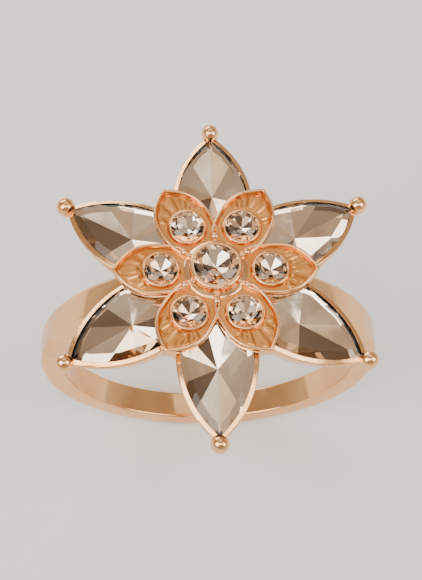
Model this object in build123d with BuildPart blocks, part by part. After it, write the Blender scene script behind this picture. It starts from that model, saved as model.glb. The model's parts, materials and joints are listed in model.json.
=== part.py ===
"""Cocktail ring in millimetres: a plain polished band under a six-pointed star of pear-cut crystals,
with a six-petal flower of small round stones raised over the middle of the star.

The origin is the centre of the finger bore, +Y runs along the finger and +Z points to the head.
Each arm of the star has its own plane: x runs out along the arm, z leaves the crystal's face,
and the crystal's girdle lies at z = 0.
"""

from math import asin, cos, degrees, radians, sin

from build123d import *

# Driving dimensions ---------------------------------------------------------------------------------
ARMS = 6

# Band
bore_radius = 9.1
band_thickness = 1.45
band_width_head = 2.3
band_width_foot = 1.8
pad_height = 9.5
outer_edge_round = 0.4
inner_edge_round = 0.12

# Star of crystals
prong_circle = 10.0
prong_height = 10.05
arm_slope = 7.0
arm_radius = 4.85
arm_height = 10.52

# Pear-cut crystal: girdle outline, crown above it and pavilion below it
pear_reach = 4.85
pear_half_width = 2.2
crown_height = 0.36
crown_angle = 33.0
crown_azimuths = (54.0, 68.5, 83.0, 105.0, 135.0, 165.0)
girdle_thickness = 0.14
pavilion_depth = 0.7
culet_reach = 0.75
pavilion_azimuths = (47.5, 61.0, 76.0, 92.0, 120.0, 150.0)

# Crystal cup
cup_wall = 0.16
cup_tip_wall = 0.25
cup_rim_rise = 0.06
cup_depth = 0.88
cup_foot_share = 0.97
cup_foot_reach_share = 0.85
seat_clearance = 0.015
seat_ledge_depth = 0.26
seat_floor_depth = 0.74
seat_floor_share = 0.3
adhesive_level = 0.42

# Hub that joins the cups
hub_radius = 5.5
hub_notch_circle = 5.9
hub_notch_radius = 0.72
hub_top = 10.45

# Tip prong
prong_ball_radius = 0.55
prong_stem_radius = 0.36
prong_foot_height = 9.32

# Flower
flower_bottom = 11.35
petal_tip_radius = 5.95
petal_base_radius = 1.1
petal_wide_radius = 3.45
petal_half_width = 1.62
petal_tip_half_angle = 60.0
petal_floor = 11.6
petal_rim_top = 11.9
petal_rim_width = 0.27
vein_pitch = 22.0
vein_width = 0.14
vein_height = 0.08
vein_root = 0.05
flower_hub_radius = 1.85
flower_hub_bottom = 11.15
flower_hub_top = 11.7

# Round stones
small_stone_circle = 3.14
small_stone_radius = 0.95
small_table_height = 12.05
small_crown = 0.3
small_pavilion = 0.46
centre_stone_radius = 1.3
centre_table_height = 12.65
centre_crown = 0.4
centre_pavilion = 0.66
stone_girdle = 0.08
stone_table_share = 0.58
stone_mains = 8
collar_wall = 0.2
collar_rise = 0.06
seat_point_radius = 0.2
seat_boss_radius = 0.62
seat_boss_bottom = 11.08

# Beads and post
bead_circle = 2.06
bead_radius = 0.24
bead_height = 11.8
post_radius = 1.6
post_pin_radius = 0.5

band_outer_radius = bore_radius + band_thickness


# Placing and writing --------------------------------------------------------------------------------
def arm_angle(index):
    """Direction of a crystal arm about +Z, in degrees: the first one points along +Y."""
    return 90.0 - index * 360.0 / ARMS


def petal_angle(index):
    """Direction of a petal about +Z, in degrees: petals lie between the crystal arms."""
    return arm_angle(index) - 180.0 / ARMS


def arm_plane(index):
    """Plane of one crystal's girdle, with x out along the arm and z out of the crystal's face."""
    turn, slope = radians(arm_angle(index)), radians(arm_slope)
    return Plane(
        origin=(arm_radius * cos(turn), arm_radius * sin(turn), arm_height),
        x_dir=(cos(turn) * cos(slope), sin(turn) * cos(slope), -sin(slope)),
        z_dir=(cos(turn) * sin(slope), sin(turn) * sin(slope), cos(slope)),
    )


def write(piece, name):
    piece.label = name
    export_step(piece, f"parts/{name}.step")


def write_group(pieces, name):
    group = Compound(label=name, children=list(pieces))
    export_step(group, f"parts/{name}.step")


# Pear outline ---------------------------------------------------------------------------------------
def flank_radius(reach, half_width):
    """Radius of the long side arc, which is level at the widest place and ends at the tip."""
    return (reach**2 + half_width**2) / (2 * half_width)


def pear_outline(reach, half_width):
    """A round inner end about the origin and two long arcs that meet at a tip on +X."""
    radius = flank_radius(reach, half_width)
    sweep = asin(reach / radius)
    middle = (radius * sin(sweep / 2), radius * cos(sweep / 2) - (radius - half_width))
    with BuildSketch() as outline:
        with BuildLine():
            ThreePointArc((0, half_width), (-half_width, 0), (0, -half_width))
            ThreePointArc((0, -half_width), (middle[0], -middle[1]), (reach, 0))
            ThreePointArc((reach, 0), middle, (0, half_width))
        make_face()
    return outline.sketch


def pear_support(azimuth):
    """Girdle point that a facet facing this azimuth touches, with 0 towards the tip."""
    radius = flank_radius(pear_reach, pear_half_width)
    turn = radians(azimuth)
    tip_limit = 90.0 - degrees(asin(pear_reach / radius))
    if azimuth <= tip_limit:
        return pear_reach, 0.0
    if azimuth <= 90.0:
        return radius * cos(turn), radius * sin(turn) - (radius - pear_half_width)
    return pear_half_width * cos(turn), pear_half_width * sin(turn)


def facet_planes(azimuths, level, through=None, angle=None):
    """Cutting planes that touch the girdle at a level, on both sides of the pear's long axis.

    A pavilion facet also runs through one deep point; a crown facet rises inwards at an angle.
    """
    planes = []
    for azimuth in azimuths:
        x, y = pear_support(azimuth)
        turn = radians(azimuth)
        if through is None:
            tilt = radians(angle)
            normal = (cos(turn) * sin(tilt), sin(turn) * sin(tilt), cos(tilt))
        else:
            along = Vector(-sin(turn), cos(turn), 0)
            down = Vector(*through) - Vector(x, y, level)
            normal = tuple(down.cross(along).normalized())
        if normal[2] * (1 if through is None else -1) < 0:
            normal = tuple(-part for part in normal)
        planes.append(Plane(origin=(x, y, level), z_dir=normal))
        planes.append(Plane(origin=(x, -y, level), z_dir=(normal[0], -normal[1], normal[2])))
    return planes


# Band -----------------------------------------------------------------------------------------------
def is_bore(face):
    return face.geom_type == GeomType.CYLINDER and abs(face.radius - bore_radius) < 0.01


with BuildPart() as band:
    with BuildSketch(Plane.XZ):
        Circle(band_outer_radius)
        Circle(bore_radius, mode=Mode.SUBTRACT)
    extrude(amount=band_width_head, both=True)
    # Both sides lean in, so that the band narrows from the head to the foot.
    lean = (band_width_head - band_width_foot) / 2 / (2 * band_outer_radius)
    side_offset = (band_width_head + band_width_foot) / 4
    for side in (1, -1):
        side_plane = Plane(origin=(0, side * side_offset, 0), z_dir=(0, side, -lean))
        split(bisect_by=side_plane, keep=Keep.BOTTOM)
    outer_face = band.faces().filter_by(GeomType.CYLINDER).sort_by(SortBy.AREA)[-1]
    fillet(outer_face.edges().filter_by(GeomType.LINE, reverse=True), outer_edge_round)
    bore_face = band.faces().filter_by(is_bore)[0]
    fillet(bore_face.edges().filter_by(GeomType.LINE, reverse=True), inner_edge_round)
    split(bisect_by=Plane.XY.offset(pad_height), keep=Keep.BOTTOM)
write(band.part, "band")


# Pear crystal ---------------------------------------------------------------------------------------
girdle_outline = pear_outline(pear_reach, pear_half_width)

with BuildPart() as crystal:
    with BuildSketch(Plane.XY.offset(-pavilion_depth)):
        add(girdle_outline)
    extrude(amount=pavilion_depth + crown_height)
    for facet in facet_planes(crown_azimuths, 0.0, angle=crown_angle):
        split(bisect_by=facet, keep=Keep.BOTTOM)
    culet = (culet_reach, 0, -pavilion_depth)
    for facet in facet_planes(pavilion_azimuths, -girdle_thickness, through=culet):
        split(bisect_by=facet, keep=Keep.BOTTOM)
    back_facet = Plane(
        origin=(-pear_half_width, 0, -girdle_thickness),
        z_dir=(-(pavilion_depth - girdle_thickness), 0, -(pear_half_width + culet_reach)),
    )
    split(bisect_by=back_facet, keep=Keep.BOTTOM)


# Crystal cup ----------------------------------------------------------------------------------------
seat_reach = pear_reach + seat_clearance * 1.4
seat_half_width = pear_half_width + seat_clearance
cup_reach = pear_reach + cup_tip_wall
cup_half_width = pear_half_width + cup_wall
cup_outline = pear_outline(cup_reach, cup_half_width)
cup_foot_outline = pear_outline(cup_reach * cup_foot_reach_share, cup_half_width * cup_foot_share)
seat_outline = pear_outline(seat_reach, seat_half_width)
seat_floor_outline = pear_outline(seat_reach * seat_floor_share, seat_half_width * seat_floor_share)

with BuildPart() as cup_body:
    with BuildSketch(Plane.XY.offset(-cup_depth)):
        add(cup_foot_outline)
    with BuildSketch(Plane.XY.offset(-girdle_thickness)):
        add(cup_outline)
    loft(ruled=True)
    with BuildSketch(Plane.XY.offset(-girdle_thickness)):
        add(cup_outline)
    extrude(amount=girdle_thickness + cup_rim_rise)

with BuildPart() as seat:
    with BuildSketch(Plane.XY.offset(-seat_floor_depth)):
        add(seat_floor_outline)
    with BuildSketch(Plane.XY.offset(-seat_ledge_depth)):
        add(seat_outline)
    loft(ruled=True)
    with BuildSketch(Plane.XY.offset(-seat_ledge_depth)):
        add(seat_outline)
    extrude(amount=seat_ledge_depth + crown_height)

with BuildPart() as cup:
    add(cup_body.part)
    add(seat.part, mode=Mode.SUBTRACT)

with BuildPart() as adhesive:
    add(seat.part)
    split(bisect_by=Plane.XY.offset(-adhesive_level), keep=Keep.BOTTOM)
    add(crystal.part, mode=Mode.SUBTRACT)

for index in range(ARMS):
    place = arm_plane(index).location
    write(crystal.part.moved(place), f"pear_crystal_{index + 1}")
    write(cup.part.moved(place), f"crystal_cup_{index + 1}")
write_group((adhesive.part.moved(arm_plane(i).location) for i in range(ARMS)), "crystal_adhesive")


# Hub that the cups are soldered to ------------------------------------------------------------------
with BuildPart() as hub:
    with BuildSketch(Plane.XY.offset(pad_height)):
        Circle(hub_radius)
        # A round notch between each two cups leaves a soft valley in the star's outline.
        with PolarLocations(hub_notch_circle, ARMS, start_angle=petal_angle(0)):
            Circle(hub_notch_radius, mode=Mode.SUBTRACT)
        Circle(post_pin_radius, mode=Mode.SUBTRACT)
    extrude(amount=hub_top - pad_height)
    for index in range(ARMS):
        add(cup_body.part.moved(arm_plane(index).location), mode=Mode.SUBTRACT)
write(hub.part, "star_hub")


# Tip prongs -----------------------------------------------------------------------------------------
for index in range(ARMS):
    turn = radians(arm_angle(index))
    foot = Plane(origin=(prong_circle * cos(turn), prong_circle * sin(turn), prong_foot_height))
    place = arm_plane(index).location
    with BuildPart() as prong:
        with BuildSketch(foot):
            Circle(prong_stem_radius)
        extrude(amount=prong_height - prong_foot_height)
        with Locations(foot.offset(prong_height - prong_foot_height)):
            Sphere(prong_ball_radius)
        add(cup_body.part.moved(place), mode=Mode.SUBTRACT)
        add(crystal.part.moved(place), mode=Mode.SUBTRACT)
    body = prong.part.solids().sort_by(SortBy.VOLUME)[-1]
    write(body, f"tip_prong_{index + 1}")


# Round stones ---------------------------------------------------------------------------------------
def round_stone(radius, crown, pavilion):
    """A round stone with its girdle's top edge at z = 0, cut with crown and pavilion facets."""
    table_radius = radius * stone_table_share
    with BuildPart() as stone:
        with BuildSketch(Plane.XY.offset(-stone_girdle - pavilion)):
            Circle(radius)
        extrude(amount=stone_girdle + pavilion + crown)
        for main in range(stone_mains):
            turn = radians(main * 360.0 / stone_mains)
            out = Vector(cos(turn), sin(turn), 0)
            crown_normal = out * crown + Vector(0, 0, radius - table_radius)
            girdle = out * radius
            split(bisect_by=Plane(origin=tuple(girdle), z_dir=tuple(crown_normal)), keep=Keep.BOTTOM)
            edge = girdle - Vector(0, 0, stone_girdle)
            pavilion_normal = out * pavilion - Vector(0, 0, radius)
            split(bisect_by=Plane(origin=tuple(edge), z_dir=tuple(pavilion_normal)), keep=Keep.BOTTOM)
    return stone.part


def stone_seat(radius, crown, pavilion):
    """The space that a round stone's seat leaves open, with the stone's girdle top at z = 0."""
    wall = radius + seat_clearance
    ledge = -stone_girdle - 0.1
    floor = -stone_girdle - pavilion - 0.03
    profile = [(0, crown), (wall, crown), (wall, ledge), (seat_point_radius, floor), (0, floor)]
    with BuildPart() as space:
        with BuildSketch(Plane.XZ):
            with BuildLine():
                Polyline(profile, close=True)
            make_face()
        revolve(axis=Axis.Z)
    return space.part


def stone_adhesive(stone, space, pavilion):
    """The adhesive under a round stone, which fills the lower part of its seat."""
    level = -stone_girdle - 0.4 * pavilion
    with BuildPart() as bed:
        add(space)
        split(bisect_by=Plane.XY.offset(level), keep=Keep.BOTTOM)
        add(stone, mode=Mode.SUBTRACT)
    return bed.part


small_stone = round_stone(small_stone_radius, small_crown, small_pavilion)
small_seat = stone_seat(small_stone_radius, small_crown, small_pavilion)
small_bed = stone_adhesive(small_stone, small_seat, small_pavilion)
centre_stone = round_stone(centre_stone_radius, centre_crown, centre_pavilion)
centre_seat = stone_seat(centre_stone_radius, centre_crown, centre_pavilion)
centre_bed = stone_adhesive(centre_stone, centre_seat, centre_pavilion)
small_girdle_height = small_table_height - small_crown
centre_girdle_height = centre_table_height - centre_crown


def petal_location(index, radius, height):
    turn = radians(petal_angle(index))
    return Location((radius * cos(turn), radius * sin(turn), height), (0, 0, petal_angle(index)))


small_places = [petal_location(i, small_stone_circle, small_girdle_height) for i in range(ARMS)]
centre_place = Location((0, 0, centre_girdle_height))

for index, place in enumerate(small_places):
    write(small_stone.moved(place), f"petal_stone_{index + 1}")
write(centre_stone.moved(centre_place), "centre_stone")
beds = [small_bed.moved(place) for place in small_places] + [centre_bed.moved(centre_place)]
write_group(beds, "stone_adhesive")


# Flower ---------------------------------------------------------------------------------------------
def petal_outline(inset):
    """A pointed leaf along +X from the flower's middle, drawn in by an inset."""
    tip = petal_tip_radius - inset / sin(radians(petal_tip_half_angle))
    base = petal_base_radius + inset
    half_width = petal_half_width - inset
    lean = radians(petal_tip_half_angle)
    with BuildSketch() as outline:
        with BuildLine():
            for side in (1, -1):
                wide = (petal_wide_radius, side * half_width)
                Spline((tip, 0), wide, tangents=((-cos(lean), side * sin(lean)), (-1, 0)))
                Spline(wide, (base, 0), tangents=((-1, 0), (0, -side)))
        make_face()
    return outline.sketch


def petal_vein_fan():
    """Low ribs that fan out from the stone's collar and run into the petal's rim."""
    with BuildSketch() as veins:
        for rib in range(-2, 3):
            with Locations(Location((small_stone_circle, 0), rib * vein_pitch)):
                Rectangle(petal_tip_radius, vein_width, align=(Align.MIN, Align.CENTER))
        add(petal_outline(petal_rim_width - vein_root), mode=Mode.INTERSECT)
    return veins.sketch


petal_edge = petal_outline(0)
petal_dish = petal_outline(petal_rim_width)
petal_veins = petal_vein_fan()

with BuildPart() as flower:
    with BuildSketch(Plane.XY.offset(flower_bottom)):
        with PolarLocations(0, ARMS, start_angle=petal_angle(0)):
            add(petal_edge)
    extrude(amount=petal_rim_top - flower_bottom)
    # Each petal is a dish, with a rim round it.
    with BuildSketch(Plane.XY.offset(petal_floor)):
        with PolarLocations(0, ARMS, start_angle=petal_angle(0)):
            add(petal_dish)
    extrude(amount=petal_rim_top - petal_floor, mode=Mode.SUBTRACT)
    with BuildSketch(Plane.XY.offset(petal_floor)):
        with PolarLocations(0, ARMS, start_angle=petal_angle(0)):
            add(petal_veins)
    extrude(amount=vein_height)
    with BuildSketch(Plane.XY.offset(flower_hub_bottom)):
        Circle(flower_hub_radius)
    extrude(amount=flower_hub_top - flower_hub_bottom)
    # A collar rises round each small stone, and a boss under it holds the stone's point.
    with BuildSketch(Plane.XY.offset(flower_bottom)):
        with PolarLocations(small_stone_circle, ARMS, start_angle=petal_angle(0)):
            Circle(small_stone_radius + seat_clearance + collar_wall)
    extrude(amount=small_girdle_height + collar_rise - flower_bottom)
    with BuildSketch(Plane.XY.offset(seat_boss_bottom)):
        with PolarLocations(small_stone_circle, ARMS, start_angle=petal_angle(0)):
            Circle(seat_boss_radius)
    extrude(amount=flower_bottom - seat_boss_bottom)
    for place in small_places:
        add(small_seat.moved(place), mode=Mode.SUBTRACT)
    add(centre_seat.moved(centre_place), mode=Mode.SUBTRACT)
write(flower.part, "flower")

with BuildPart() as centre_bezel:
    with BuildSketch(Plane.XY.offset(flower_hub_top)):
        Circle(centre_stone_radius + seat_clearance + collar_wall)
        Circle(centre_stone_radius + seat_clearance, mode=Mode.SUBTRACT)
    extrude(amount=centre_girdle_height + collar_rise - flower_hub_top)
    add(flower.part, mode=Mode.SUBTRACT)
write(centre_bezel.part, "centre_bezel")

with BuildPart() as beads:
    with Locations(Plane.XY.offset(bead_height)):
        with PolarLocations(bead_circle, ARMS, start_angle=arm_angle(0)):
            Sphere(bead_radius)
    add(flower.part, mode=Mode.SUBTRACT)
    add(centre_bezel.part, mode=Mode.SUBTRACT)
write(beads.part, "flower_beads")

with BuildPart() as post:
    with BuildSketch(Plane.XY.offset(hub_top)):
        Circle(post_radius)
    extrude(amount=flower_hub_bottom - hub_top)
    with BuildSketch(Plane.XY.offset(pad_height)):
        Circle(post_pin_radius)
    extrude(amount=hub_top - pad_height)
write(post.part, "flower_post")
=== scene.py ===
"""Cocktail ring: rose-gold metal, foil-backed glass stones, studio floor, lights and camera.

Everything is in metres in the CAD model's frame: the finger bore's centre is the origin, +Y runs
along the finger and +Z points to the head. Where they can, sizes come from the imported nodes' boxes;
the rest are named below.
"""

import json

from math import asin, atan2, cos, hypot, pi, radians, sin

import bmesh
import bpy
from mathutils import Matrix, Vector


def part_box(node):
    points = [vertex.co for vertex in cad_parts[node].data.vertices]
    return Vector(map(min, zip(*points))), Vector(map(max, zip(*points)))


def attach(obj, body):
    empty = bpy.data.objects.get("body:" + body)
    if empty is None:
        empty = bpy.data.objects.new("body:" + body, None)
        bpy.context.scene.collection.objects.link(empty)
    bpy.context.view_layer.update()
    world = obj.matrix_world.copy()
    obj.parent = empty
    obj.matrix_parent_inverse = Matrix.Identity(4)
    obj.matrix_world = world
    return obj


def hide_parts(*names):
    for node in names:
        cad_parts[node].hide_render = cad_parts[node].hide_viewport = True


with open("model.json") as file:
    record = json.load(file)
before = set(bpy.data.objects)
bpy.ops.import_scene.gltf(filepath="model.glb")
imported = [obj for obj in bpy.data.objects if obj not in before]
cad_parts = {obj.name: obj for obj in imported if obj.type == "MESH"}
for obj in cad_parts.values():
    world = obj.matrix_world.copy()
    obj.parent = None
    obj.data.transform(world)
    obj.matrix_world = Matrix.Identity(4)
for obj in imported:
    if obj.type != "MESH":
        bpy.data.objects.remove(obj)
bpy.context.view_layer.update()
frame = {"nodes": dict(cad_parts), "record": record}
MM = 0.001

# Sizes ----------------------------------------------------------------------------------------------
ARMS = 6
ARM_SLOPE = radians(7.0)

band_low, band_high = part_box("band")
BAND_RADIUS = band_high.x
BORE_RADIUS = frame["record"]["mounts"][0]["dims"]["r_mm"] * MM
PAD_HEIGHT = band_high.z
BAND_HEAD_WIDTH = 2.3 * MM
BAND_FOOT_WIDTH = 1.8 * MM

prong_low, prong_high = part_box("tip_prong_1")
BALL_RADIUS = (prong_high.x - prong_low.x) / 2
PRONG_CIRCLE = prong_high.y - BALL_RADIUS
PRONG_HEIGHT = prong_high.z - BALL_RADIUS
PRONG_FOOT = prong_low.z

hub_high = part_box("star_hub")[1]
ARM_HEIGHT = hub_high.z + 0.07 * MM
crystal_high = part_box("pear_crystal_1")[1]
PEAR_HALF = crystal_high.x
PEAR_REACH = 4.85 * MM
ARM_RADIUS = crystal_high.y - PEAR_REACH * cos(ARM_SLOPE)
CUP_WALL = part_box("crystal_cup_1")[1].x - PEAR_HALF
CUP_TIP_WALL = 0.25 * MM
CUP_DEPTH = 0.88 * MM
RIM_RISE = 0.06 * MM
RIM_ROUND = 0.07 * MM
LIP_OVER_TIP = 0.14 * MM
LIP_OVER_SIDE = 0.1 * MM
LIP_RISE = 0.08 * MM
LIP_THICKNESS = 0.03 * MM
SEAT_GAP = 0.02 * MM
SEAT_DROP = 0.05 * MM
CROWN_HEIGHT = 0.36 * MM
GIRDLE = 0.14 * MM
PAVILION_DEPTH = 0.7 * MM

flower_low, flower_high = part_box("flower")
PETAL_TIP = flower_high.x
PETAL_TOP = flower_high.z
PETAL_BOTTOM = PETAL_TOP - 0.55 * MM
PETAL_FLOOR = PETAL_TOP - 0.3 * MM
PETAL_BASE = 1.1 * MM
PETAL_WIDE_AT = 3.45 * MM
PETAL_HALF = 1.62 * MM
PETAL_TIP_ANGLE = radians(60.0)
PETAL_RIM_WIDTH = 0.28 * MM
COLLAR_WIDTH = 0.22 * MM
COLLAR_SEAT_RADIUS = 0.23 * MM
VEIN_HEIGHT = 0.08 * MM
VEIN_PITCH = radians(22)
VEIN_FAN = 2.5 * VEIN_PITCH
FLOWER_HUB_RADIUS = 1.85 * MM
SMALL_CROWN = 0.3 * MM
CENTRE_CROWN = 0.4 * MM

stone_boxes = [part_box(f"petal_stone_{i + 1}") for i in range(ARMS)]
centre_low, centre_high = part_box("centre_stone")
bezel_low, bezel_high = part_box("centre_bezel")
BEAD_CIRCLE = 2.06 * MM
BEAD_RADIUS = 0.24 * MM


def arm_angle(index):
    """Direction of a crystal arm about +Z: the first points along +Y."""
    return pi / 2 - index * 2 * pi / ARMS


def petal_angle(index):
    """Direction of a petal about +Z: petals lie between the arms."""
    return arm_angle(index) - pi / ARMS


def arm_matrix(index):
    """From an arm's own frame, x out along the crystal and z out of its face, to the model's frame."""
    turn = Matrix.Rotation(arm_angle(index), 4, "Z")
    slope = Matrix.Rotation(ARM_SLOPE, 4, "Y")
    place = Matrix.Translation((ARM_RADIUS, 0, ARM_HEIGHT))
    return turn @ place @ slope


# Mesh helpers ---------------------------------------------------------------------------------------
def finish_mesh(name, bm, material_list, smooth_angle=None):
    """Turns a bmesh into an object that rides on the root body."""
    bmesh.ops.recalc_face_normals(bm, faces=bm.faces)
    mesh = bpy.data.meshes.new(name)
    bm.to_mesh(mesh)
    bm.free()
    for material in material_list:
        mesh.materials.append(material)
    piece = bpy.data.objects.new(name, mesh)
    bpy.context.scene.collection.objects.link(piece)
    if smooth_angle is not None:
        for polygon in mesh.polygons:
            polygon.use_smooth = True
        mesh.set_sharp_from_angle(angle=radians(smooth_angle))
    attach(piece, "root")
    return piece


def loft(bm, rings, matrix=None):
    """Joins closed rings of points that have the same count, and caps the two ends."""
    loops = []
    for ring in rings:
        points = [matrix @ Vector(p) if matrix else Vector(p) for p in ring]
        loops.append([bm.verts.new(p) for p in points])
    count = len(loops[0])
    for lower, upper in zip(loops, loops[1:]):
        for i in range(count):
            j = (i + 1) % count
            bm.faces.new((lower[i], lower[j], upper[j], upper[i]))
    bm.faces.new(loops[0][::-1])
    bm.faces.new(loops[-1])


def join_round(bm, loops):
    """Joins each loop of vertices to the next one, and the last loop to the first."""
    for here, after in zip(loops, loops[1:] + loops[:1]):
        for i in range(len(here)):
            j = (i + 1) % len(here)
            bm.faces.new((here[i], after[i], after[j], here[j]))


def lathe(bm, profile, centre, steps=64):
    """A solid of revolution about +Z from (radius, height) points, with a flat cap at each end."""
    rings = []
    for radius, height in profile:
        ring = []
        for k in range(steps):
            turn = 2 * pi * k / steps
            ring.append((centre[0] + radius * cos(turn), centre[1] + radius * sin(turn), height))
        rings.append(ring)
    loft(bm, rings)


def tube_ring(bm, profile, steps):
    """A closed ring about the Z axis: the (radius, height) profile is itself a closed loop."""
    loops = []
    for k in range(steps):
        turn = 2 * pi * k / steps
        loops.append([bm.verts.new((r * cos(turn), r * sin(turn), h)) for r, h in profile])
    join_round(bm, loops)


def flank_radius(reach, half):
    """Radius of the arc that runs from the pear's tip to its widest point."""
    return (reach**2 + half**2) / (2 * half)


def pear_ring(reach, half, height, flank_steps=36, end_steps=44):
    """A closed ring of points on the pear outline, from the tip on +X round to the tip again."""
    radius = flank_radius(reach, half)
    sweep = asin(reach / radius)
    side = []
    for k in range(flank_steps):
        turn = sweep * (1 - k / flank_steps)
        side.append((radius * sin(turn), radius * cos(turn) - (radius - half)))
    for k in range(end_steps // 2 + 1):
        turn = pi * k / end_steps
        side.append((-half * sin(turn), half * cos(turn)))
    back = [(x, -y) for x, y in side[1:-1]][::-1]
    return [(x, y, height) for x, y in side + back]


# Cutting stones -------------------------------------------------------------------------------------
# Material slots of a stone's faces.
GLASS_FACE = 0
FOIL_FACE = 1
CUT_TOLERANCE = 1e-8
UPRIGHT = 0.1

# Azimuths of the pear's facets on one side, in degrees from the tip; the other side mirrors them.
CROWN_MAINS = (45, 60, 76, 96, 124, 156)
CROWN_HALVES = (52, 68, 86, 110, 140, 172)
BACK_MAINS = (52, 67, 84, 110, 144, 180)
BACK_HALVES = (46, 59, 75, 96, 126, 163)
CROWN_MAIN_TILT = radians(33)
CROWN_HALF_TILT = radians(37)
BACK_HALF_STEEPNESS = 1.15
BED_GAP = 0.06 * MM
CULET = (0.7 * MM, 0.0, -PAVILION_DEPTH + BED_GAP)
TIP_MAIN_DROP = 0.3 * MM

# Round stones: the table is a share of the radius, and a steepness multiplies a main facet's tilt.
STONE_TABLE = 0.6
STONE_STAR_REACH = 0.1
STONE_GIRDLE = 0.07 * MM
STONE_CROWN_HALF_STEEPNESS = 1.22
STONE_BACK_HALF_STEEPNESS = 1.06
STONE_STAR_STEEPNESS = 0.55
STONE_MAINS = 8
FACET_DROP = 0.01 * MM
CENTRE_STONE_TURN = 0.2


def cut(bm, origin, normal, face_kind):
    """Cuts away what is on the normal's side of a plane, and closes the cut with one facet."""
    geometry = bm.verts[:] + bm.edges[:] + bm.faces[:]
    result = bmesh.ops.bisect_plane(
        bm, geom=geometry, plane_co=origin, plane_no=normal, clear_outer=True,
        dist=CUT_TOLERANCE,
    )
    edges = [e for e in result["geom_cut"] if isinstance(e, bmesh.types.BMEdge) and e.is_boundary]
    if edges:
        made = bmesh.ops.edgeloop_fill(bm, edges=edges)
        for face in made["faces"]:
            face.material_index = face_kind


def pear_support(azimuth):
    """The point on the crystal's outline that a facet facing this azimuth touches."""
    side = 1 if azimuth >= 0 else -1
    turn = abs(azimuth)
    radius = flank_radius(PEAR_REACH, PEAR_HALF)
    tip_limit = pi / 2 - asin(PEAR_REACH / radius)
    if turn <= tip_limit:
        return Vector((PEAR_REACH, 0, 0))
    if turn <= pi / 2:
        return Vector((radius * cos(turn), side * (radius * sin(turn) - (radius - PEAR_HALF)), 0))
    return Vector((PEAR_HALF * cos(turn), side * PEAR_HALF * sin(turn), 0))


def facet(bm, support, azimuth, level, tilt, face_kind, up):
    """One facet that touches the outline at a level and leans in towards the axis by its tilt."""
    out = Vector((cos(azimuth), sin(azimuth), 0))
    normal = out * sin(tilt) + Vector((0, 0, cos(tilt) * (1 if up else -1)))
    cut(bm, support + Vector((0, 0, level)), normal, face_kind)


def slope_to(point, azimuth, level, target):
    """Tilt of the facet that touches a point at a level and also runs through a target point."""
    out = Vector((cos(azimuth), sin(azimuth), 0))
    run = (point - Vector((target[0], target[1], 0))).dot(out)
    return atan2(abs(target[2] - level), run)


def silver_girdle(bm):
    """The silvering runs up over the upright girdle faces."""
    bm.normal_update()
    for face in bm.faces:
        if abs(face.normal.z) < UPRIGHT:
            face.material_index = FOIL_FACE


def both_sides(azimuths):
    """Signed azimuths in radians: each facet off the long axis also gets its mirror image."""
    signed = []
    for azimuth in azimuths:
        signed.append(radians(azimuth))
        if 0 < azimuth < 180:
            signed.append(-radians(azimuth))
    return signed


def make_pear_crystal(index, glass, foil):
    """A pear-cut glass crystal whose pavilion facets are silvered."""
    bm = bmesh.new()
    base = pear_ring(PEAR_REACH, PEAR_HALF, -PAVILION_DEPTH)
    top = pear_ring(PEAR_REACH, PEAR_HALF, CROWN_HEIGHT)
    loft(bm, [base, top])
    for azimuths, tilt in ((CROWN_MAINS, CROWN_MAIN_TILT), (CROWN_HALVES, CROWN_HALF_TILT)):
        for azimuth in both_sides(azimuths):
            facet(bm, pear_support(azimuth), azimuth, 0.0, tilt, GLASS_FACE, up=True)
    for azimuths, steepness in ((BACK_MAINS, 1.0), (BACK_HALVES, BACK_HALF_STEEPNESS)):
        for azimuth in both_sides(azimuths):
            touch = pear_support(azimuth)
            tilt = slope_to(touch, azimuth, -GIRDLE, CULET) * steepness
            facet(bm, touch, azimuth, -GIRDLE, tilt, FOIL_FACE, up=False)
    tip = Vector((PEAR_REACH, 0, 0))
    tip_tilt = slope_to(tip, 0.0, -TIP_MAIN_DROP, CULET)
    facet(bm, tip, 0.0, -TIP_MAIN_DROP, tip_tilt, FOIL_FACE, up=False)
    silver_girdle(bm)
    bm.transform(arm_matrix(index))
    piece = finish_mesh(f"pear_glass_{index + 1}", bm, [glass, foil])
    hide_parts(f"pear_crystal_{index + 1}")


def make_round_stone(name, node, low, high, crown, glass, foil, turn):
    """A round brilliant, cut from its CAD node's box: mains, stars and halves, silvered back."""
    radius = (high.x - low.x) / 2
    centre = Vector(((low.x + high.x) / 2, (low.y + high.y) / 2, 0))
    girdle_top = high.z - crown
    girdle_base = girdle_top - STONE_GIRDLE
    table_radius = STONE_TABLE * radius
    crown_tilt = atan2(crown, radius - table_radius)
    crown_half_tilt = crown_tilt * STONE_CROWN_HALF_STEEPNESS
    star_tilt = crown_tilt * STONE_STAR_STEEPNESS
    back_tilt = atan2(girdle_base - low.z - BED_GAP, radius)
    back_half_tilt = back_tilt * STONE_BACK_HALF_STEEPNESS
    pitch = 2 * pi / STONE_MAINS
    bm = bmesh.new()
    lathe(bm, [(radius, low.z), (radius, high.z)], (0, 0))
    for k in range(STONE_MAINS):
        main = turn + k * pitch
        star = main + pitch / 2
        for half in (main - pitch / 4, main + pitch / 4):
            out = Vector((cos(half), sin(half), 0))
            facet(bm, out * radius, half, girdle_top - FACET_DROP, crown_half_tilt, GLASS_FACE, True)
            facet(bm, out * radius, half, girdle_base, back_half_tilt, FOIL_FACE, False)
        out = Vector((cos(main), sin(main), 0))
        facet(bm, out * radius, main, girdle_top, crown_tilt, GLASS_FACE, True)
        facet(bm, out * radius, main, girdle_base, back_tilt, FOIL_FACE, False)
        out = Vector((cos(star), sin(star), 0))
        reach = table_radius * cos(pitch / 2) + STONE_STAR_REACH * radius
        facet(bm, out * reach, star, high.z - FACET_DROP, star_tilt, GLASS_FACE, True)
    silver_girdle(bm)
    bmesh.ops.translate(bm, verts=bm.verts, vec=centre)
    piece = finish_mesh(name, bm, [glass, foil])
    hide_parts(node)


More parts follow.
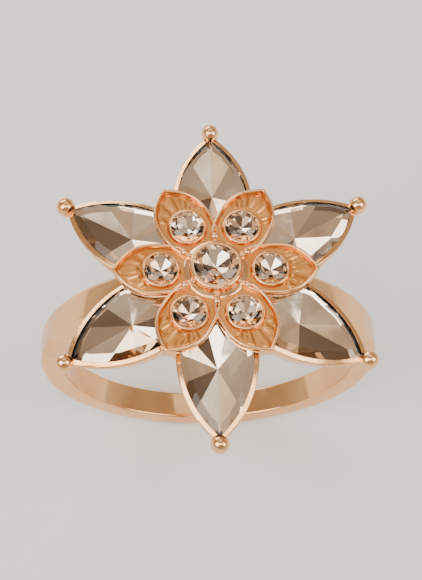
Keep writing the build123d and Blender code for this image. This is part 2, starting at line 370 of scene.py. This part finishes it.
# Metal pieces ---------------------------------------------------------------------------------------
def make_band(metal):
    """The plain band: a rounded section swept round the bore, narrower at the foot, flat on top."""
    outer_round, inner_round = 0.42 * MM, 0.14 * MM
    corner_steps = 7
    bm = bmesh.new()
    loops = []
    steps = 360
    for k in range(steps):
        turn = 2 * pi * k / steps
        share = (sin(turn) + 1) / 2
        half = (BAND_FOOT_WIDTH + (BAND_HEAD_WIDTH - BAND_FOOT_WIDTH) * share) / 2
        corners = (
            (BAND_RADIUS - outer_round, half - outer_round, outer_round, 0.0),
            (BORE_RADIUS + inner_round, half - inner_round, inner_round, pi / 2),
            (BORE_RADIUS + inner_round, -half + inner_round, inner_round, pi),
            (BAND_RADIUS - outer_round, -half + outer_round, outer_round, 3 * pi / 2),
        )
        section = []
        for radius, side, round_radius, start in corners:
            for step in range(corner_steps + 1):
                bend = start + pi / 2 * step / corner_steps
                section.append((radius + round_radius * cos(bend), side + round_radius * sin(bend)))
        loops.append([
            bm.verts.new((r * cos(turn), y, min(r * sin(turn), PAD_HEIGHT))) for r, y in section
        ])
    join_round(bm, loops)
    piece = finish_mesh("finger_band", bm, [metal], smooth_angle=35)
    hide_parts("band")


def make_cup(index, metal):
    """A shallow pear cup with a near-upright wall, and a lip burnished over the crystal's edge.

    Its rings run from the foot up the outside, over the lip, and down to the middle of the seat.
    """
    reach, half = PEAR_REACH + CUP_TIP_WALL, PEAR_HALF + CUP_WALL
    lip_reach, lip_half = PEAR_REACH - LIP_OVER_TIP, PEAR_HALF - LIP_OVER_SIDE
    lip_top = RIM_RISE + LIP_RISE
    seat_reach, seat_half = PEAR_REACH + 1.5 * SEAT_GAP, PEAR_HALF + SEAT_GAP
    rings = [
        pear_ring(reach * 0.84, half * 0.94, -CUP_DEPTH),
        pear_ring(reach * 0.86, half * 0.965, -CUP_DEPTH + 0.03 * MM),
        pear_ring(reach * 0.9, half * 0.98, -CUP_DEPTH + 0.2 * MM),
        pear_ring(reach, half, -GIRDLE - 0.05 * MM),
        pear_ring(reach, half, RIM_RISE - 0.6 * RIM_ROUND),
        pear_ring(reach - 0.3 * RIM_ROUND, half - 0.3 * RIM_ROUND, RIM_RISE - 0.12 * RIM_ROUND),
        pear_ring(reach - RIM_ROUND, half - RIM_ROUND, RIM_RISE),
        pear_ring(PEAR_REACH - 0.04 * MM, PEAR_HALF - 0.04 * MM, lip_top - 0.02 * MM),
        pear_ring(lip_reach, lip_half, lip_top),
        pear_ring(lip_reach, lip_half, lip_top - LIP_THICKNESS),
        pear_ring(seat_reach, seat_half, 0.0),
        pear_ring(seat_reach, seat_half, -2 * GIRDLE),
        pear_ring(PEAR_REACH * 0.32, PEAR_HALF * 0.33, -PAVILION_DEPTH - SEAT_DROP),
    ]
    bm = bmesh.new()
    loft(bm, rings, matrix=arm_matrix(index))
    piece = finish_mesh(f"cup_shell_{index + 1}", bm, [metal], smooth_angle=50)
    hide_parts(f"crystal_cup_{index + 1}")


def make_prong(index, metal):
    """A tip prong: a foot that narrows into a stem, and a ball that bears on the crystal's tip."""
    stem = 0.3 * MM
    profile = [
        (0.24 * MM, PRONG_FOOT), (0.33 * MM, PRONG_FOOT + 0.04 * MM),
        (0.35 * MM, PRONG_FOOT + 0.14 * MM),
    ]
    start = asin(stem / BALL_RADIUS)
    steps = 22
    for k in range(steps):
        turn = start + (pi - start) * k / steps
        profile.append((BALL_RADIUS * sin(turn), PRONG_HEIGHT - BALL_RADIUS * cos(turn)))
    profile.append((0.02 * MM, PRONG_HEIGHT + BALL_RADIUS))
    turn = arm_angle(index)
    centre = (PRONG_CIRCLE * cos(turn), PRONG_CIRCLE * sin(turn))
    bm = bmesh.new()
    lathe(bm, profile, centre, steps=48)
    # Hand-finished balls are never quite round: each is a little flat along its own direction.
    lean = Matrix.Rotation(2.4 * index, 4, "Z")
    flatten = Matrix.Diagonal((0.94 + 0.02 * (index % 3), 1.0, 1.0, 1.0))
    about = Matrix.Translation((*centre, 0))
    bm.transform(about @ lean @ flatten @ lean.inverted() @ about.inverted())
    piece = finish_mesh(f"prong_ball_{index + 1}", bm, [metal], smooth_angle=60)
    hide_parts(f"tip_prong_{index + 1}")


# Material slot of the faces on a petal's floor, whose metal is darkened with painted shade; slot 0 is
# the polished metal.
FLOOR_FACE = 1


def bezier(a, b, c, d, t):
    """Point on a cubic curve from a to d with the handles b and c."""
    s = 1 - t
    return a * s**3 + b * 3 * s * s * t + c * 3 * s * t * t + d * t**3


def petal_edge(steps=28):
    """Points round a petal from its tip along one side to its base and back along the other."""
    tip, wide = Vector((PETAL_TIP, 0)), Vector((PETAL_WIDE_AT, PETAL_HALF))
    base = Vector((PETAL_BASE, 0))
    outer, inner = (tip - wide).length / 2.4, (wide - base).length / 2.2
    lean = Vector((-cos(PETAL_TIP_ANGLE), sin(PETAL_TIP_ANGLE)))
    side = []
    for k in range(steps):
        side.append(bezier(tip, tip + lean * outer, wide + Vector((outer, 0)), wide, k / steps))
    for k in range(steps + 1):
        side.append(bezier(wide, wide - Vector((inner, 0)), base + Vector((0, inner)), base, k / steps))
    back = [Vector((p.x, -p.y)) for p in side[1:-1]][::-1]
    return side + back


def petal_relief(turn, reach, room):
    """Height of the veins above a petal's floor: a fan of ridges that opens from the stone's collar."""
    if abs(turn) > VEIN_FAN:
        return 0.0
    ridge = cos(pi * turn / VEIN_PITCH) ** 2
    edge_fade = min(1.0, (VEIN_FAN - abs(turn)) / (0.3 * VEIN_PITCH))
    reach_fade = min(1.0, reach / (0.2 * MM), (room - reach) / (0.12 * MM))
    return VEIN_HEIGHT * ridge * edge_fade * max(reach_fade, 0.0)


def make_petal(bm, index):
    """One petal with upright sides, a rounded rim, a veined floor, and the small stone's collar.

    Its rings run from the boss under the petal, round the outside, and in to the stone's seat.
    """
    edge = petal_edge()
    low, high = stone_boxes[index]
    stone_radius = (high.x - low.x) / 2
    girdle = high.z - SMALL_CROWN
    centre = Vector((hypot((low.x + high.x) / 2, (low.y + high.y) / 2), 0))
    inward = [(centre - point).normalized() for point in edge]

    def around_stone(radius, height):
        return [(centre.x - d.x * radius, centre.y - d.y * radius, height) for d in inward]

    def along_edge(inset, height):
        return [(p.x + d.x * inset, p.y + d.y * inset, height) for p, d in zip(edge, inward)]

    rings = [
        around_stone(0.02 * MM, flower_low.z), around_stone(0.52 * MM, flower_low.z),
        around_stone(0.6 * MM, flower_low.z + 0.08 * MM), around_stone(0.62 * MM, PETAL_BOTTOM),
    ]
    rim = (
        (0.10, PETAL_BOTTOM), (0.02, PETAL_BOTTOM + 0.05 * MM), (0.0, PETAL_BOTTOM + 0.12 * MM),
        (0.0, PETAL_TOP - 0.12 * MM), (0.02, PETAL_TOP - 0.05 * MM), (0.07, PETAL_TOP - 0.008 * MM),
        (0.12, PETAL_TOP), (0.17, PETAL_TOP - 0.02 * MM), (0.2, PETAL_TOP - 0.07 * MM),
        (0.23, PETAL_FLOOR + 0.05 * MM),
    )
    rings += [along_edge(inset * MM, height) for inset, height in rim]
    rings.append(along_edge(PETAL_RIM_WIDTH, PETAL_FLOOR))
    collar_foot = stone_radius + COLLAR_WIDTH
    rows = 12
    for row in range(1, rows + 1):
        ring = []
        for point, d in zip(edge, inward):
            room = (point - centre).length - PETAL_RIM_WIDTH - collar_foot
            reach = room * (1 - row / rows)
            spot = centre - d * (collar_foot + reach)
            rise = petal_relief(atan2(-d.y, -d.x), reach, room)
            ring.append((spot.x, spot.y, PETAL_FLOOR + rise))
        rings.append(ring)
    collar = (
        (0.17, girdle - 0.05 * MM), (0.14, girdle + 0.02 * MM), (0.09, girdle + 0.05 * MM),
        (0.03, girdle + 0.05 * MM), (0.0, girdle + 0.02 * MM), (0.02, girdle),
        (0.02, girdle - 0.2 * MM),
    )
    rings += [around_stone(stone_radius + rise * MM, height) for rise, height in collar]
    rings.append(around_stone(COLLAR_SEAT_RADIUS, low.z - SEAT_DROP))
    first_face = len(bm.faces)
    loft(bm, rings, matrix=Matrix.Rotation(petal_angle(index), 4, "Z"))
    bm.faces.ensure_lookup_table()
    floor_low, floor_high = PETAL_FLOOR - 0.01 * MM, PETAL_FLOOR + VEIN_HEIGHT + 0.01 * MM
    for face in bm.faces[first_face:]:
        if all(floor_low < vertex.co.z < floor_high for vertex in face.verts):
            face.material_index = FLOOR_FACE


def make_flower(polished, textured_painted_shade):
    """The cast flower: six petals and the disc that joins them, polished except on its floors, which
    are textured and darkened with painted shade.
    """
    bm = bmesh.new()
    for index in range(ARMS):
        make_petal(bm, index)
    disc_low, disc_high = PETAL_BOTTOM - 0.2 * MM, PETAL_FLOOR + 0.1 * MM
    lathe(bm, [
        (0.3 * MM, disc_low), (FLOWER_HUB_RADIUS - 0.1 * MM, disc_low),
        (FLOWER_HUB_RADIUS, disc_low + 0.1 * MM), (FLOWER_HUB_RADIUS, disc_high - 0.05 * MM),
        (FLOWER_HUB_RADIUS - 0.06 * MM, disc_high), (0.63 * MM, disc_high),
        (0.25 * MM, centre_low.z - SEAT_DROP),
    ], (0, 0))
    piece = finish_mesh("flower_casting", bm, [polished, textured_painted_shade], smooth_angle=42)
    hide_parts("flower")


def make_bezel(metal):
    """The centre stone's collar, burnished over the stone's edge."""
    outer = bezel_high.x
    inner = (centre_high.x - centre_low.x) / 2 + 0.01 * MM
    low, high = bezel_low.z, bezel_high.z
    bm = bmesh.new()
    tube_ring(bm, [
        (inner, low - 0.05 * MM), (outer + 0.05 * MM, low - 0.05 * MM), (outer, low + 0.1 * MM),
        (outer, high - 0.09 * MM), (outer - 0.05 * MM, high - 0.02 * MM), (outer - 0.12 * MM, high),
        (inner - 0.03 * MM, high - 0.01 * MM), (inner, high - 0.06 * MM),
    ], steps=96)
    piece = finish_mesh("bezel_collar", bm, [metal], smooth_angle=42)
    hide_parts("centre_bezel")


def make_beads(metal):
    """Six bright beads on short pegs, between the petals round the centre stone."""
    bm = bmesh.new()
    bead_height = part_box("flower_beads")[1].z - BEAD_RADIUS
    steps = 14
    for index in range(ARMS):
        turn = arm_angle(index)
        profile = [(0.16 * MM, bead_height - 0.35 * MM), (0.17 * MM, bead_height - 0.2 * MM)]
        for k in range(steps):
            bend = pi / 4 + (3 * pi / 4) * k / steps
            profile.append((BEAD_RADIUS * sin(bend), bead_height - BEAD_RADIUS * cos(bend)))
        profile.append((0.01 * MM, bead_height + BEAD_RADIUS))
        lathe(bm, profile, (BEAD_CIRCLE * cos(turn), BEAD_CIRCLE * sin(turn)), steps=28)
    piece = finish_mesh("grain_beads", bm, [metal], smooth_angle=60)
    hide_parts("flower_beads")


# Materials ------------------------------------------------------------------------------------------
def new_material(name):
    """A node material, and what the functions below need of it."""
    material = bpy.data.materials.new(name)
    material.use_nodes = True
    nodes, links = material.node_tree.nodes, material.node_tree.links
    return material, nodes, links, nodes["Principled BSDF"]


def add_noise(nodes, links, scale, detail):
    """Noise over the object's own coordinates, which are metres, so its scale is per metre."""
    where = nodes.new("ShaderNodeTexCoord")
    noise = nodes.new("ShaderNodeTexNoise")
    noise.inputs["Scale"].default_value = scale
    noise.inputs["Detail"].default_value = detail
    links.new(where.outputs["Object"], noise.inputs["Vector"])
    return noise


def add_ramp(nodes, links, source, stops):
    """A colour ramp with the given (position, colour) stops, fed by a source socket."""
    ramp = nodes.new("ShaderNodeValToRGB")
    while len(ramp.color_ramp.elements) < len(stops):
        ramp.color_ramp.elements.new(0.5)
    for element, (position, colour) in zip(ramp.color_ramp.elements, stops):
        element.position = position
        element.color = colour
    links.new(source, ramp.inputs["Fac"])
    return ramp


def vary(nodes, links, socket, scale, detail, stops):
    """Feeds a socket from a ramp over noise."""
    noise = add_noise(nodes, links, scale, detail)
    ramp = add_ramp(nodes, links, noise.outputs["Fac"], stops)
    links.new(ramp.outputs["Color"], socket)


def grey(value):
    """A ramp colour that carries one number."""
    return (value, value, value, 1)


def rose_gold(name, roughness, grain_depth=0.06, shade=(0.84, 0.43, 0.17), light=(0.94, 0.54, 0.25)):
    """Polished rose-gold plate: slow colour drift, polishing haze and fine grain."""
    material, nodes, links, shader = new_material(name)
    shader.inputs["Metallic"].default_value = 1.0
    vary(nodes, links, shader.inputs["Base Color"], 420.0, 2.0, (
        (0.3, (*shade, 1)), (0.7, (*light, 1)),
    ))
    vary(nodes, links, shader.inputs["Roughness"], 1600.0, 4.0, (
        (0.35, grey(roughness * 0.7)), (0.7, grey(roughness * 1.5)),
    ))
    grain = add_noise(nodes, links, 5200.0, 2.0)
    bump = nodes.new("ShaderNodeBump")
    bump.inputs["Strength"].default_value = grain_depth
    bump.inputs["Distance"].default_value = 0.02 * MM
    links.new(grain.outputs["Fac"], bump.inputs["Height"])
    links.new(bump.outputs["Normal"], shader.inputs["Normal"])
    return material


def crystal_glass(name):
    """Clear glass with a faint drift of tint and haze, as on pressed and polished stones.

    Its IOR is below real glass's, so that less light is caught between the facets and lost.
    """
    material, nodes, links, shader = new_material(name)
    shader.inputs["Transmission Weight"].default_value = 1.0
    shader.inputs["IOR"].default_value = 1.36
    vary(nodes, links, shader.inputs["Base Color"], 300.0, 1.0, (
        (0.3, (1.0, 0.985, 0.965, 1)), (0.7, (0.985, 0.99, 1.0, 1)),
    ))
    vary(nodes, links, shader.inputs["Roughness"], 900.0, 2.0, ((0.4, grey(0.0)), (0.8, grey(0.03))))
    return material


# Painted reflections for the foil's facets: dark brown where a facet would mirror dark surroundings,
# whites for highlights, and cream and tan for glints.
FACET_PAINTED_REFLECTIONS = (
    (0.0, (0.27, 0.21, 0.16, 1)), (0.40, (0.98, 0.95, 0.91, 1)), (0.455, (0.95, 0.83, 0.70, 1)),
    (0.50, (0.99, 0.97, 0.94, 1)), (0.555, (0.86, 0.73, 0.60, 1)), (0.60, (0.98, 0.92, 0.85, 1)),
    (0.66, (0.90, 0.75, 0.61, 1)),
)
LACQUER_DEEP = (0.84, 0.67, 0.50, 1)
# A Mix node has sockets of the same name for each data type, so its colour sockets go by number.
MIX_A, MIX_B, MIX_RESULT = 6, 7, 2


def mirror_foil_painted_reflections(name, lacquer_pale):
    """The silvering on a stone's back: each facet, by its direction, gets a painted reflection (a white
    highlight, a cream or tan glint, or a dark facet), and lacquer shows in patches.
    """
    material, nodes, links, shader = new_material(name)
    shader.inputs["Metallic"].default_value = 1.0
    shape = nodes.new("ShaderNodeNewGeometry")
    # The normal turns round when a facet is seen through the stone, so it is turned back.
    facing = nodes.new("ShaderNodeMath")
    facing.operation = "MULTIPLY_ADD"
    facing.inputs[1].default_value = -2.0
    facing.inputs[2].default_value = 1.0
    links.new(shape.outputs["Backfacing"], facing.inputs[0])
    outward = nodes.new("ShaderNodeVectorMath")
    outward.operation = "SCALE"
    links.new(shape.outputs["True Normal"], outward.inputs[0])
    links.new(facing.outputs[0], outward.inputs["Scale"])
    # Each facet's direction picks its painted reflection tone from the ramp below.
    tone = nodes.new("ShaderNodeTexNoise")
    tone.inputs["Scale"].default_value = 5.0
    tone.inputs["Detail"].default_value = 0.0
    links.new(outward.outputs[0], tone.inputs["Vector"])
    facets = add_ramp(nodes, links, tone.outputs["Fac"], FACET_PAINTED_REFLECTIONS)
    facets.color_ramp.interpolation = "CONSTANT"
    patch = add_noise(nodes, links, 520.0, 1.5)
    lacquer = add_ramp(nodes, links, patch.outputs["Fac"], ((0.42, lacquer_pale), (0.68, LACQUER_DEEP)))
    mix = nodes.new("ShaderNodeMix")
    mix.data_type = "RGBA"
    mix.blend_type = "MULTIPLY"
    mix.inputs["Factor"].default_value = 1.0
    links.new(facets.outputs["Color"], mix.inputs[MIX_A])
    links.new(lacquer.outputs["Color"], mix.inputs[MIX_B])
    links.new(mix.outputs[MIX_RESULT], shader.inputs["Base Color"])
    vary(nodes, links, shader.inputs["Roughness"], 1400.0, 2.0, ((0.4, grey(0.03)), (0.8, grey(0.09))))
    return material


def clear_adhesive(name):
    """Cured jewellery adhesive: slightly yellow, glossy and unevenly coloured."""
    material, nodes, links, shader = new_material(name)
    vary(nodes, links, shader.inputs["Base Color"], 700.0, 3.0, (
        (0.3, (0.72, 0.68, 0.58, 1)), (0.7, (0.84, 0.81, 0.72, 1)),
    ))
    shader.inputs["Roughness"].default_value = 0.25
    return material


def floor_paper(name):
    """Pale seamless studio paper with a very faint mottle."""
    material, nodes, links, shader = new_material(name)
    vary(nodes, links, shader.inputs["Base Color"], 60.0, 4.0, (
        (0.3, (0.78, 0.77, 0.755, 1)), (0.7, (0.81, 0.80, 0.785, 1)),
    ))
    shader.inputs["Roughness"].default_value = 0.75
    return material


# Building the ring ----------------------------------------------------------------------------------
band_metal = rose_gold("rose_gold_band", 0.1)
cast_metal = rose_gold("rose_gold_cast", 0.15)
# The petal floors' metal: its satin roughness and deeper grain are real texture, and its darker, deeper
# base colour is painted shade for the recessed floors.
floor_metal_painted_shade = rose_gold("rose_gold_textured_painted_shade", 0.3, grain_depth=0.3,
                        shade=(0.60, 0.235, 0.05), light=(0.73, 0.325, 0.09))
bright_metal = rose_gold("rose_gold_bright", 0.08)
pear_glass = crystal_glass("pear_glass")
# The stones' foils carry painted reflections, one tone per facet, under a patchy lacquer tint.
pear_foil_painted_reflections = mirror_foil_painted_reflections("pear_foil_painted_reflections", (0.99, 0.84, 0.67, 1))
stone_glass = crystal_glass("stone_glass")
stone_foil_painted_reflections = mirror_foil_painted_reflections("stone_foil_painted_reflections", (0.90, 0.78, 0.66, 1))
adhesive = clear_adhesive("clear_adhesive")

make_band(band_metal)
for arm in range(ARMS):
    make_cup(arm, cast_metal)
    make_prong(arm, bright_metal)
    make_pear_crystal(arm, pear_glass, pear_foil_painted_reflections)
make_flower(cast_metal, floor_metal_painted_shade)
make_bezel(bright_metal)
make_beads(bright_metal)
for index, (low, high) in enumerate(stone_boxes):
    make_round_stone(f"petal_gem_{index + 1}", f"petal_stone_{index + 1}", low, high, SMALL_CROWN,
                     stone_glass, stone_foil_painted_reflections, petal_angle(index))
make_round_stone("centre_gem", "centre_stone", centre_low, centre_high, CENTRE_CROWN,
                 stone_glass, stone_foil_painted_reflections, CENTRE_STONE_TURN)

# Nodes whose CAD shape is right keep it, and take the finished materials.
kept_nodes = {
    "star_hub": cast_metal,
    "flower_post": cast_metal,
    "crystal_adhesive": adhesive,
    "stone_adhesive": adhesive,
}
for node, material in kept_nodes.items():
    mesh = frame["nodes"][node].data
    mesh.materials.clear()
    mesh.materials.append(material)

# Floor ----------------------------------------------------------------------------------------------
FLOOR_HALF_SIZE = 0.6
FLOOR_GAP = 0.01 * MM


def make_floor():
    """A plain floor just under the band's foot."""
    bm = bmesh.new()
    bmesh.ops.create_grid(bm, x_segments=8, y_segments=8, size=FLOOR_HALF_SIZE)
    bmesh.ops.translate(bm, verts=bm.verts, vec=(0, 0, band_low.z - FLOOR_GAP))
    mesh = bpy.data.meshes.new("studio_floor")
    bm.to_mesh(mesh)
    bm.free()
    mesh.materials.append(floor_paper("floor_paper"))
    floor = bpy.data.objects.new("studio_floor", mesh)
    bpy.context.scene.collection.objects.link(floor)


make_floor()


# Lights ---------------------------------------------------------------------------------------------
LIGHT_DISTANCE = 0.42


def direction(azimuth, elevation):
    """Unit vector from the ring towards a light or camera; azimuth 0 is the front, on -Y."""
    return Vector((sin(azimuth) * cos(elevation), -cos(azimuth) * cos(elevation), sin(elevation)))


def softbox(name, azimuth, elevation, width, height, watts, colour=(1, 1, 1)):
    """A rectangular area light that faces the ring's head; its angles are in degrees."""
    light = bpy.data.lights.new(name, "AREA")
    light.shape = "RECTANGLE"
    light.size = width
    light.size_y = height
    light.energy = watts
    light.color = colour
    lamp = bpy.data.objects.new(name, light)
    back = direction(radians(azimuth), radians(elevation))
    lamp.location = Vector((0, 0, PRONG_HEIGHT)) + back * LIGHT_DISTANCE
    lamp.rotation_mode = "QUATERNION"
    lamp.rotation_quaternion = back.to_track_quat("Z", "Y")
    bpy.context.scene.collection.objects.link(lamp)


softbox("key_left", 300, 45, 0.28, 0.30, 1.4)
softbox("fill_right", 70, 40, 0.24, 0.30, 0.95, (1.0, 0.98, 0.95))
softbox("front_high", 0, 68, 0.24, 0.12, 0.45)
softbox("back_low", 205, 26, 0.34, 0.16, 0.8)
softbox("back_high", 175, 66, 0.36, 0.28, 0.26)


def studio_world():
    """Soft surroundings: a pale wall round the horizon under a dim, warm ceiling."""
    world = bpy.data.worlds.new("studio")
    world.use_nodes = True
    nodes, links = world.node_tree.nodes, world.node_tree.links
    where = nodes.new("ShaderNodeTexCoord")
    axes = nodes.new("ShaderNodeSeparateXYZ")
    links.new(where.outputs["Generated"], axes.inputs["Vector"])
    wall = add_ramp(nodes, links, axes.outputs["Z"], (
        (0.1, (0.80, 0.77, 0.73, 1)), (0.4, (0.56, 0.46, 0.375, 1)),
    ))
    links.new(wall.outputs["Color"], nodes["Background"].inputs["Color"])
    bpy.context.scene.world = world


studio_world()

# Camera ---------------------------------------------------------------------------------------------
VIEW_AZIMUTH = radians(-6.25)
VIEW_ELEVATION = radians(64.05)
VIEW_ROLL = radians(5.14)
VIEW_DISTANCE = 99.75 * MM
AIM = Vector((0, 0.15 * BAND_RADIUS, 0.54 * BAND_RADIUS))
LENS_MM = 102.0
SENSOR_MM = 36.0

camera_data = bpy.data.cameras.new("photo_camera")
camera_data.lens = LENS_MM
camera_data.sensor_width = SENSOR_MM
camera_data.clip_start = 0.005
camera_data.clip_end = 10.0
camera = bpy.data.objects.new("photo_camera", camera_data)
back = direction(VIEW_AZIMUTH, VIEW_ELEVATION)
camera.location = AIM + back * VIEW_DISTANCE
level = (-back).to_track_quat("-Z", "Y").to_matrix().to_4x4()
roll = Matrix.Rotation(VIEW_ROLL, 4, "Z")
camera.rotation_mode = "QUATERNION"
camera.rotation_quaternion = (level @ roll).to_quaternion()
bpy.context.scene.collection.objects.link(camera)
bpy.context.scene.camera = camera
